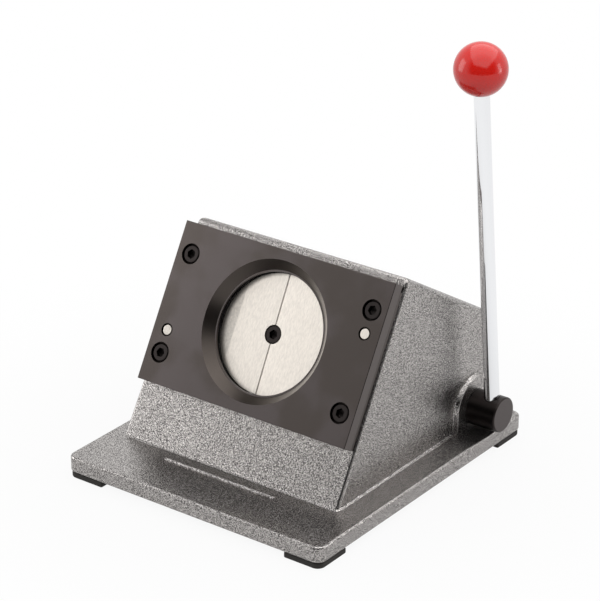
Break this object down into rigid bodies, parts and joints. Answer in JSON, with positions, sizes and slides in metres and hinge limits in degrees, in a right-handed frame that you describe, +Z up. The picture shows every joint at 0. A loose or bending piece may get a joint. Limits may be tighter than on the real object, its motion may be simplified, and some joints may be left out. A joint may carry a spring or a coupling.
{
  "type": "badge circle cutter",
  "caption": "Tabletop hand press that cuts round paper blanks for button badges: a side lever drives a round punch through a die plate on a sloping cast stand.",
  "frame": {"origin": "middle of the whole object's box, on the surface that the feet stand on", "axes": "+Z up, operator at -Y, lever on the +X side"},
  "size_m": [0.2345, 0.246, 0.3144],
  "materials": {
    "hammered_paint": "grey hammertone enamel over cast iron",
    "blackened_steel": "chemically blackened, satin",
    "black_oxide": "black oxide, satin",
    "ground_steel": "ground bright",
    "turned_steel": "turned, oiled",
    "spring_wire": "drawn spring wire",
    "bronze": "sintered bronze",
    "black_rubber": "moulded, matt",
    "chrome": "polished chromium plate",
    "red_plastic": "moulded, polished"
  },
  "bodies": {
    "root": {"frame_casting": "hammered_paint", "foot_front_left": "black_rubber", "foot_front_right": "black_rubber", "foot_rear_left": "black_rubber", "foot_rear_right": "black_rubber", "die_plate": "blackened_steel", "left_spacer_strip": "turned_steel", "right_spacer_strip": "turned_steel", "die_screw_upper_left": "black_oxide", "die_screw_upper_right": "black_oxide", "die_screw_lower_left": "black_oxide", "die_screw_lower_right": "black_oxide", "dowel_pin_left": "ground_steel", "dowel_pin_right": "ground_steel", "ram_bush": "bronze", "return_spring": "spring_wire", "shaft_bush_right": "bronze", "shaft_bush_left": "bronze"},
    "lever": {"drive_shaft": "black_oxide", "eccentric_cam": "turned_steel", "cam_key": "turned_steel", "cam_set_screw": "black_oxide", "shaft_washer": "turned_steel", "shaft_circlip": "spring_wire", "lever_rod": "chrome", "ball_knob": "red_plastic"},
    "ram": {"ram": "turned_steel", "punch": "ground_steel", "punch_screw": "black_oxide", "punch_pin": "turned_steel"}
  },
  "joints": [
    {"name": "lever_hinge", "type": "hinge", "parent": "root", "child": "lever", "pos_m": [-0.01075, 0.08824, 0.03045], "axis": [1, 0, 0], "range_deg": [0, 70]},
    {"name": "ram_slide", "type": "slide", "parent": "root", "child": "ram", "axis": [0, -0.866, 0.5], "range_m": [0, 0.0078], "stiffness_N_per_m": 4000, "springref_m": -0.015, "deforming": ["return_spring"]}
  ],
  "couplings": [
    {"joint": "ram_slide", "follows": "lever_hinge", "m_per_rad": 0.0063}
  ]
}
